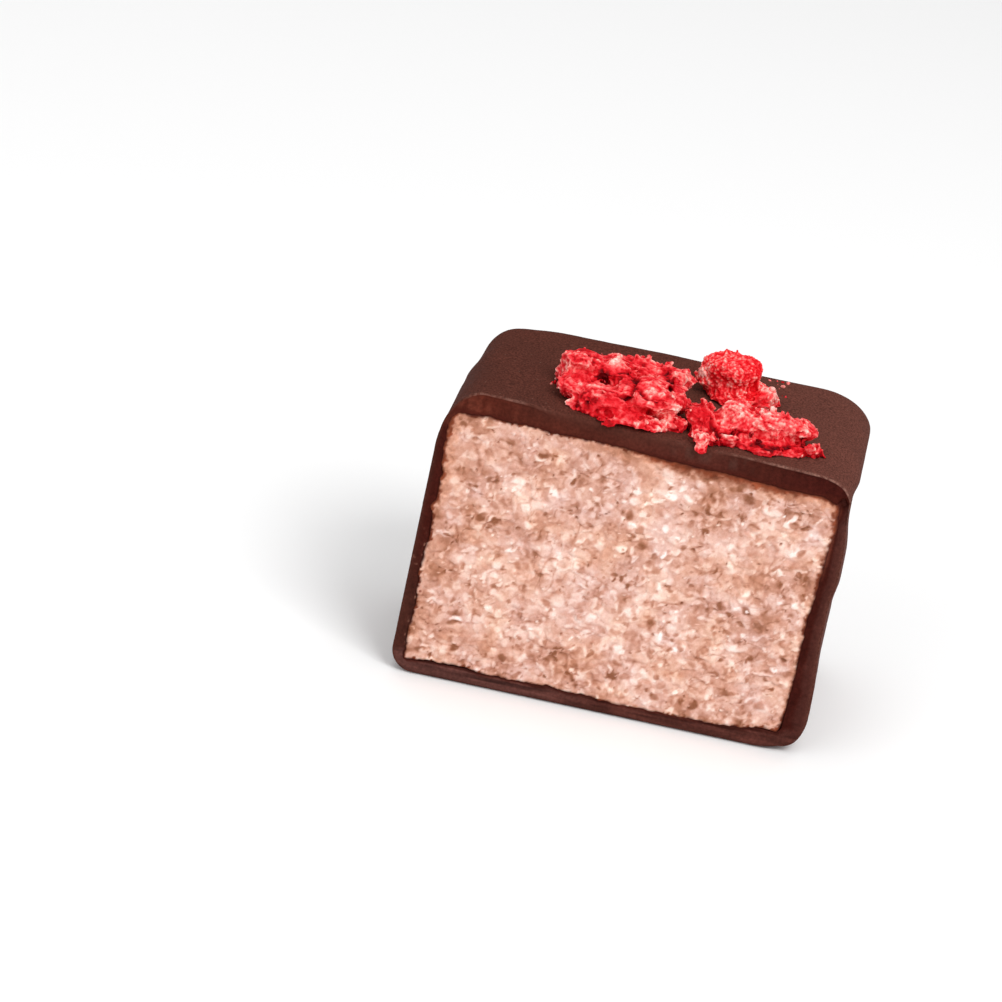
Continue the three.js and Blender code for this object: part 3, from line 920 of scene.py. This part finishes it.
def build_filling(material):
    face, colours, x, z = filling_face()
    index = np.arange(x.size).reshape(x.shape)
    quads = np.stack([index[:-1, :-1], index[:-1, 1:], index[1:, 1:], index[1:, :-1]], axis=-1)
    rim = np.concatenate([index[0, :-1], index[:-1, -1], index[-1, :0:-1], index[:0:-1, 0]])
    rings = list(hidden_rings(x.ravel()[rim], z.ravel()[rim]))
    points = np.concatenate([face.reshape(-1, 3), *rings, rings[-1].mean(axis=0)[None]])
    bands = np.vstack([rim, x.size + np.arange(len(rings) * len(rim)).reshape(-1, len(rim))])
    faces = quads.reshape(-1, 4).tolist() + band_faces(bands) + fan_faces(bands[-1], len(points) - 1)
    hidden = np.tile(blended(CRUMB_STOPS, np.array([0.5])), (len(points) - x.size, 1))
    return mesh_object("cheesecake_crumb", points, faces, material, np.concatenate([colours, hidden]))


# ---------------- the dried strawberry

BERRY_VOXEL = 0.078
BERRY_SINK = 0.55  # how far a piece's foot settles onto the chocolate
SINK_REACH = 0.7  # how high up that fades
CONTACT_SHADE = 0.25  # painted shade on the flesh where it meets the chocolate
CONTACT_SHADE_REACH = 0.45
CREASE_SHADE = 1.3  # painted shade in a crease, for its depth
BERRY_SHRINK = 0.12  # how far its surface draws in before it is made uneven
CREASE_WIDTH = 0.30
FLAKE = 0.75  # how long a torn flake is
BERRY_STOPS = [
    [0.0, 0.12, 0.000, 0.002],
    [0.2, 0.38, 0.001, 0.004],
    [0.4, 0.66, 0.005, 0.012],
    [0.55, 0.80, 0.035, 0.044],
    [0.7, 0.88, 0.110, 0.110],
    [0.85, 0.95, 0.270, 0.235],
    [1.0, 0.98, 0.500, 0.440],
]
REDDER_AND_LIT = np.array([1.15, 0.90, 0.90])  # how much redder the granular piece is, and lighter as painted light on its shaded steep front
# How each kind of piece is made: its torn flakes, rounds of smoothing, how deep its creases cut, then how far
# each kind of unevenness lifts it, its usual and its least paleness and what each kind adds to that.
# What the hollows add is painted shade. The unevenness that lifts the surface also makes it paler where
# raised and darker where low, partly the flesh's own colour and partly painted light and shade.
CRUMPLED = {
    "flakes": 80,
    "rounds": 5,
    "cleft": 0.38,
    "lift": {"crease": 0.18, "wrinkle": 0.11, "fine": 0.12, "fibre": 0.06, "pale": 0.16},
    "tone": 0.54,
    "least": -math.inf,
    "add": {"crease": 0.13, "wrinkle": 0.10, "hollow_shade": -8.0, "fine": 0.28, "fibre": 0.26, "broad": 0.32},
}
GRANULAR = {
    "flakes": 20,
    "rounds": 12,
    "cleft": 0.15,
    "lift": {"crease": 0.10, "grains": 0.16, "fine": 0.12, "pale": 0.90},
    "tone": 0.55,
    "least": 0.36,
    "add": {"crease": 0.05, "hollow_shade": -4.0, "grains": 0.62, "fine": 0.48, "broad": 0.10},
}
# What marks the flesh of each piece, at places given as how far along the cut from its middle, how far behind
# it and how high: pale lobes and dark hollows, the hollows' darkness being painted shade, as place, radius
# and strength; where it is an even bright red, as place and radius; and the creases between its lobes, as
# lines through places.
BERRIES = {
    "strawberry_piece_left": {
        "kind": CRUMPLED,
        "spots": [
            (-4.6, 7.0, 31.9, 0.8, 0.50), (-1.1, 3.7, 32.0, 1.3, 0.35), (1.8, 2.3, 31.0, 0.9, 0.40),
            (0.9, 1.9, 29.4, 0.9, 0.50), (-8.1, 1.9, 29.4, 0.8, 0.60), (1.6, 8.0, 31.6, 0.9, 0.30),
            (-7.3, 3.4, 30.6, 0.8, 0.30), (-8.6, 5.5, 30.4, 0.9, 0.30), (-5.5, 5.7, 30.9, 0.7, -0.75),
            (-3.4, 6.2, 31.0, 0.8, -0.40), (0.2, 8.6, 31.0, 0.5, -0.50),
        ],
        "reds": [(-7.6, 4.4, 31.0, 0.9), (-4.4, 1.2, 30.4, 1.3), (-2.2, 1.2, 30.2, 1.2)],
        "creases": [
            [(-6.4, 0.8, 30.0), (-2.8, 2.2, 31.2), (-2.3, 3.4, 31.7), (-3.0, 6.0, 31.8)],
            [(-2.3, 3.4, 31.7), (-1.2, 2.0, 31.2), (0.6, 2.2, 31.2)],
            [(0.6, 2.2, 31.2), (0.8, 5.0, 31.6), (0.2, 8.6, 31.2)],
            [(-0.4, 0.9, 29.9), (0.4, 1.6, 30.2), (2.2, 1.8, 29.6)],
        ],
    },
    "strawberry_piece_back": {
        "kind": GRANULAR,
        "spots": [(3.9, 12.6, 30.6, 0.8, 0.50), (10.3, 12.2, 30.2, 1.2, 0.50)],
        "reds": [(9.0, 11.0, 29.6, 0.8)],
        "creases": [[(8.0, 11.4, 29.2), (8.4, 12.6, 31.0), (8.2, 14.0, 31.4)]],
    },
    "strawberry_piece_front": {
        "kind": CRUMPLED,
        "spots": [
            (7.1, 4.0, 31.3, 1.4, 0.20), (9.8, 4.8, 31.0, 1.4, 0.10), (12.2, 5.0, 30.6, 1.2, 0.06),
            (4.5, -0.4, 28.9, 1.1, 0.36), (7.0, 1.4, 29.6, 0.9, 0.25), (9.5, 1.0, 28.7, 0.5, 0.45),
            (4.3, 3.0, 30.8, 1.1, -0.25), (9.4, 1.8, 29.3, 0.8, -0.55), (11.0, 2.0, 29.2, 0.7, -0.60),
        ],
        "reds": [(4.4, 2.6, 30.4, 1.2), (9.4, 1.4, 29.0, 0.8), (13.2, 3.2, 29.6, 0.9)],
        "creases": [
            [(5.3, 3.6, 31.0), (5.4, 2.8, 29.9), (5.9, 1.2, 29.3)],
            [(5.9, 2.0, 29.8), (7.6, 2.3, 29.8), (8.6, 2.6, 29.5), (9.8, 2.2, 29.4)],
            [(12.0, 3.0, 29.3), (13.6, 4.4, 29.2)],
        ],
    },
}


def remeshed(name, points, faces, voxel):
    """The outer surface of overlapping closed shapes, in millimetres, as an even mesh."""
    mesh = bpy.data.meshes.new(name)
    mesh.from_pydata(points.tolist(), [], faces)
    lump = new_object(name, mesh)
    modifier = lump.modifiers.new("even", "REMESH")
    modifier.mode = "VOXEL"
    modifier.voxel_size = voxel
    even = bpy.data.meshes.new_from_object(lump.evaluated_get(bpy.context.evaluated_depsgraph_get()))
    bpy.data.objects.remove(lump)
    return even


def shards(random, points, normals, count, size):
    """Thin torn flakes that stand out of a surface at random, as points and faces."""
    made_points, made_faces = [], []
    for pick in random.integers(0, len(points), count):
        out = normals[pick] + random.normal(0, 0.7, 3)
        out /= np.linalg.norm(out)
        side = np.cross(out, random.normal(0, 1, 3))
        side /= np.linalg.norm(side)
        flat = np.cross(out, side)
        length = size * random.uniform(0.5, 1.2)
        width = length * random.uniform(0.7, 1.4)
        thick = random.uniform(0.08, 0.15)
        outline = [(-0.5, -0.6), (0.5, -0.6), (0.55, 0.2), (0.1, 0.6), (-0.45, 0.35)]
        ring = [side * (u * width + random.normal(0, 0.08 * size)) + out * v * length for u, v in outline]
        start = len(made_points)
        for depth in (-thick, thick):
            made_points += [points[pick] + corner + flat * depth for corner in ring]
        near = start + np.arange(len(outline))
        far = near + len(outline)
        made_faces += [near[::-1].tolist(), far.tolist(), *band_faces(np.array([far, near]))]
    return np.array(made_points), made_faces


def placed(spot):
    """A place given along the cut from its middle, behind it and up, as a point of the frame."""
    along, behind, up = spot
    return np.array([CUT_X + along, CUT_Y + behind, up])


def distance_to_line(points, corners):
    """How far each point is from the nearest part of a line through these corners."""
    nearest = np.full(len(points), 99.0)
    for start, end in zip(corners[:-1], corners[1:]):
        step = end - start
        share = np.clip((points - start) @ step / (step @ step), 0, 1)
        nearest = np.minimum(nearest, np.linalg.norm(points - start - share[:, None] * step, axis=1))
    return nearest


def berry_marks(marks, points):
    """How pale, how evenly red and how creased the flesh is at each point of a piece."""
    wavy = drifted(points, (0.25, 0.9, 91))

    def away(spot):
        return np.linalg.norm(wavy - placed(spot), axis=1)

    pale = sum(strength * hill(away(spot), 0, radius) for *spot, radius, strength in marks["spots"])
    red = [ramp(1.3 * radius, 0.5 * radius, away(spot)) for *spot, radius in marks["reds"]]
    lines = [distance_to_line(wavy, [placed(corner) for corner in line]) for line in marks["creases"]]
    return pale, np.maximum.reduce(red), hill(np.minimum.reduce(lines), 0, CREASE_WIDTH)


def berry_body(node, kind, seed):
    """The solid of one piece, sunk onto the chocolate, with torn flakes, as a smooth mesh and its edges."""
    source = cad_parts[node].data
    points = points_of(source) / MM
    normals = normals_of(source)
    faces = [list(polygon.vertices) for polygon in source.polygons]
    above = points[:, 2] - top_of(COATING, points[:, 0])
    resting = ramp(CUT_Y - 0.2, CUT_Y + 0.6, points[:, 1])
    points[:, 2] -= BERRY_SINK * np.exp(-np.maximum(above, 0) / SINK_REACH) * resting
    upper = np.flatnonzero((normals[:, 2] > -0.2) & (above > 0.5))
    random = np.random.default_rng(seed)
    flakes, flake_faces = shards(random, points[upper], normals[upper], kind["flakes"], FLAKE)
    faces += [[i + len(points) for i in face] for face in flake_faces]
    mesh = remeshed(node + "_body", np.concatenate([points, flakes]), faces, BERRY_VOXEL)
    points = points_of(mesh)
    edges = rows_of(mesh.edges, "vertices", 2, np.int32)
    for _ in range(kind["rounds"]):
        points = mixed(points, neighbour_mean(points, edges), 0.6)
    set_points(mesh, points)
    return mesh, edges


def build_berry(node, material, seed):
    """One piece of dried strawberry, torn, crumpled and coloured."""
    kind = BERRIES[node]["kind"]
    mesh, edges = berry_body(node, kind, seed)
    points = points_of(mesh)
    pale, red, creased = berry_marks(BERRIES[node], points)
    fibres = drifted(points, (0.5, 1.4, seed + 19)) * [0.25, 1, 1]
    layers = {
        "crease": folds(drifted(points, (0.7, 2.2, seed)), 1.8, seed + 4) - 0.5,
        "wrinkle": folds(drifted(points, (0.3, 0.8, seed + 10)), 0.7, seed + 5) - 0.5,
        "fine": fractal(drifted(points, (0.15, 0.4, seed + 16)), 0.30, 2, seed + 6),
        "fibre": fractal(fibres, 0.34, 2, seed + 22),
        "grains": 0.5 - cells(points, 0.26, seed + 7),
        "pale": np.maximum(pale, -0.8),
    }

    def layered(shares):
        return sum(share * layers[name] for name, share in shares.items())

    lift = layered(kind["lift"]) - kind["cleft"] * creased - BERRY_SHRINK
    points = points + normals_of(mesh) * lift[:, None]
    points[:, 2] = np.minimum(points[:, 2], CAD_HIGH[2])
    points[:, 1] = np.maximum(points[:, 1], CAD_LOW[1])
    set_points(mesh, points)
    # How deep each point lies in a hollow; the paleness this takes away is painted shade.
    hollow_shade = np.sum((neighbour_mean(points, edges) - points) * normals_of(mesh), axis=1)
    for _ in range(3):
        hollow_shade = mixed(hollow_shade, neighbour_mean(hollow_shade, edges), 0.8)

    layers["hollow_shade"] = hollow_shade
    layers["broad"] = fractal(drifted(points, (0.9, 1.5, seed + 13)), 1.9, 4, seed + 9)
    value = np.maximum(kind["tone"] + layered(kind["add"]), kind["least"])
    # The spots' paleness, with painted shade in the creases.
    value += pale - CREASE_SHADE * kind["cleft"] * creased
    value = mixed(value, 0.44 + 0.10 * layers["fine"] + 0.15 * layers["fibre"], 0.75 * red)
    # Painted contact shade near the chocolate.
    foot = points[:, 2] - top_of(COATING, points[:, 0])
    value -= CONTACT_SHADE * np.exp(-np.maximum(foot, 0) / CONTACT_SHADE_REACH)
    polygons = [list(polygon.vertices) for polygon in mesh.polygons]
    tint = blended(BERRY_STOPS, value)
    # The granular piece made redder, and lighter as painted light.
    if kind is GRANULAR:
        tint = np.minimum(tint * REDDER_AND_LIT, 0.98)
    piece = mesh_object(node + "_dried", points, polygons, material, tint)
    bpy.data.meshes.remove(mesh)
    return piece


CRUMB_GRID = 7
CRUMBS_TOGETHER = 3
CRUMB_SPREAD = 0.35
# Where crumbs of strawberry lie together: how far along the cut from its middle and how far behind it.
STRAY_CRUMBS = [(-9.6, 7.2), (-8.8, 4.5), (-9.2, 8.8), (-10, 6.2)]
STRAY_CRUMBS += [(11.6, 19.3), (10.5, 19.9), (10.9, 18.5), (11.3, 16)]


def crumb_shape(random, centre, size):
    """One ragged crumb, as points and faces: a ball of rings pulled about by noise."""
    turn = np.linspace(0, 2 * math.pi, CRUMB_GRID + 2, endpoint=False)
    tilt = np.linspace(0, math.pi, CRUMB_GRID)[1:-1]
    rings = [(math.sin(t) * math.cos(a), math.sin(t) * math.sin(a), math.cos(t)) for t in tilt for a in turn]
    ball = np.array([*rings, (0, 0, 1), (0, 0, -1)])
    ball *= (1 + 0.45 * noise(ball, 0.8, int(random.integers(1, 9999))))[:, None]
    faces = ring_faces(len(tilt), len(turn))
    return centre + ball * size * random.uniform(0.6, 1.2, 3), faces


def build_crumbs(material):
    """The crumbs that lie round the three pieces, as one mesh."""
    random = np.random.default_rng(SEED + 1)
    points, faces, tint = [], [], []
    for along, behind in STRAY_CRUMBS:
        for _ in range(CRUMBS_TOGETHER):
            x = CUT_X + along + random.normal(0, CRUMB_SPREAD)
            y = CUT_Y + behind + random.normal(0, CRUMB_SPREAD)
            size = random.uniform(0.10, 0.26)
            centre = np.array([x, y, top_of(COATING, x) + 0.5 * size - 0.05])
            shape, sides = crumb_shape(random, centre, size)
            first = sum(len(part) for part in points)
            faces += [[first + i for i in side] for side in sides]
            points.append(shape)
            shade = 1 + 0.35 * noise(shape, 0.15, 3)
            tint.append(blended(BERRY_STOPS, random.uniform(0.25, 1)) * shade[:, None])
    return mesh_object("strawberry_crumbs", np.concatenate(points), faces, material, np.concatenate(tint))


# ---------------- floor, light and camera

FLOOR_REACH = 3000
LENS = 143.7
SENSOR = 36.0
AZIMUTH = 0.0337
ELEVATION = 0.427
ROLL = -0.196
DISTANCE = 365.0
OFF_CENTRE = (11.06, -6.90)  # how far right of and below the view's axis the middle of the cut lies
AIM_HEIGHT = 14.335


def build_floor():
    """A plain pale floor, far wider than the view."""
    corners = [(x * FLOOR_REACH, y * FLOOR_REACH, 0) for x, y in ((-1, -1), (1, -1), (1, 1), (-1, 1))]
    pale = Finish("pale_floor", 0.9, 0.1).finish((0.95, 0.95, 0.95, 1))
    mesh_object("floor", corners, [(0, 1, 2, 3)], pale)


def softbox(name, place, size, power):
    """A square soft light at `place`, in millimetres, turned to the bite."""
    light = bpy.data.lights.new(name, "AREA")
    light.size = size * MM
    light.energy = power
    lamp = new_object(name, light)
    lamp.location = Vector(place) * MM
    lamp.rotation_euler = (-lamp.location).to_track_quat("-Z", "Y").to_euler()


def build_light():
    softbox("key_light", (260, -330, 520), 300, 2.3)
    softbox("fill_light", (-320, -380, 260), 400, 0.8)
    softbox("top_light", (0, 120, 600), 500, 1.0)
    world = bpy.data.worlds.new("studio")
    world.use_nodes = True
    background = world.node_tree.nodes["Background"]
    background.inputs["Color"].default_value = (1, 1, 1, 1)
    background.inputs["Strength"].default_value = 0.48
    bpy.context.scene.world = world


def build_camera():
    """The photograph's view: from the front and a little above, tilted, the bite up and right of centre."""
    back = Vector((math.sin(AZIMUTH), -math.cos(AZIMUTH), math.tan(ELEVATION))).normalized()
    level = Vector((0, 0, 1)).cross(back).normalized()
    upright = back.cross(level)
    right = level * math.cos(ROLL) - upright * math.sin(ROLL)
    up = level * math.sin(ROLL) + upright * math.cos(ROLL)
    aim = Vector((CUT_X, CUT_Y, AIM_HEIGHT))
    place = aim - right * OFF_CENTRE[0] - up * OFF_CENTRE[1] + back * DISTANCE
    camera = new_object("camera", bpy.data.cameras.new("camera"))
    camera.data.lens = LENS
    camera.data.sensor_width = SENSOR
    camera.data.clip_start = 0.01
    camera.data.clip_end = 20.0
    turned = Matrix((right, up, back)).transposed().to_4x4()
    camera.matrix_world = Matrix.Translation(place * MM) @ turned
    bpy.context.scene.camera = camera
    bpy.context.scene.view_settings.view_transform = "Standard"


# ---------------- all together

build_camera()
build_light()
build_floor()

chocolate = chocolate_finish()
crumb = tinted_finish("cheesecake", 0.7, 0.08, 0.16, (0.95, 0.90, 0.88), (1.05, 1.10, 1.12), 0.02, 0.05)
dried = tinted_finish("dried_strawberry", 0.5, 0.08, 0.17, (0.86, 0.50, 0.52), (1.12, 1.50, 1.48), 0.05, 0.04)

coating = build_coating(chocolate)
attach(coating, "root")
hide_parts("chocolate_coating")

filling = build_filling(crumb)
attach(filling, "root")
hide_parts("cheesecake_filling")

for number, node in enumerate(BERRIES):
    berry = build_berry(node, dried, 100 * (number + 1))
    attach(berry, "root")
    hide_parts(node)

crumbs = build_crumbs(dried)
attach(crumbs, "root")
